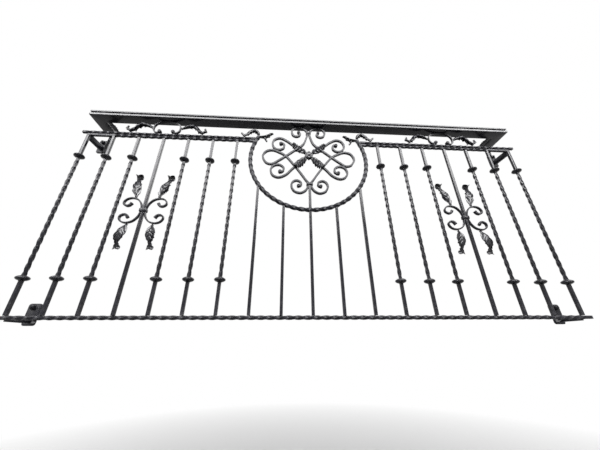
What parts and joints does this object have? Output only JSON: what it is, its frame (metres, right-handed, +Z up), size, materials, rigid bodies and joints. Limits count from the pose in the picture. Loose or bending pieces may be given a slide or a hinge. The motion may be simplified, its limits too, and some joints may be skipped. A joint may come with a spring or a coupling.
{
  "type": "wrought iron window balcony railing",
  "caption": "Shallow wrought iron balcony railing for a tall window: twisted bars, an open ring with scrolls and leaves, a moulded handrail and wall brackets.",
  "frame": {"origin": "On the wall face of the lower left bracket's plate, level with the middle of the bracket's legs.", "axes": "+X runs along the railing to the right seen from outside, +Y points into the wall, +Z is up."},
  "size_m": [2.228, 0.137, 1.0125],
  "materials": {
    "black_paint": "satin black paint over wrought iron, grey where the sky reflects"
  },
  "bodies": {
    "root": {"handrail_front": "black_paint", "handrail_left_return": "black_paint", "handrail_right_return": "black_paint", "top_rail_upper_left": "black_paint", "top_rail_upper_right": "black_paint", "top_rail_lower_left": "black_paint", "top_rail_lower_right": "black_paint", "bottom_rail": "black_paint", "bar_01": "black_paint", "bar_02": "black_paint", "bar_03": "black_paint", "bar_04": "black_paint", "bar_05": "black_paint", "bar_06": "black_paint", "bar_07": "black_paint", "bar_08": "black_paint", "bar_09": "black_paint", "bar_10": "black_paint", "bar_11": "black_paint", "bar_12": "black_paint", "bar_13": "black_paint", "bar_14": "black_paint", "bar_15": "black_paint", "bar_16": "black_paint", "bar_17": "black_paint", "bar_18": "black_paint", "bar_19": "black_paint", "ring": "black_paint", "ring_post": "black_paint", "rising_scroll": "black_paint", "falling_scroll": "black_paint", "left_strand": "black_paint", "right_strand": "black_paint", "clasps": "black_paint", "rosette": "black_paint", "centre_leaves": "black_paint", "ring_leaves_left": "black_paint", "ring_leaves_right": "black_paint", "side_scrolls_left": "black_paint", "side_scrolls_right": "black_paint", "side_collars": "black_paint", "side_leaves": "black_paint", "top_scroll_left": "black_paint", "top_scroll_right": "black_paint", "return_leaves": "black_paint", "bracket_upper_left": "black_paint", "bracket_upper_right": "black_paint", "bracket_lower_left": "black_paint", "bracket_lower_right": "black_paint"}
  },
  "joints": []
}
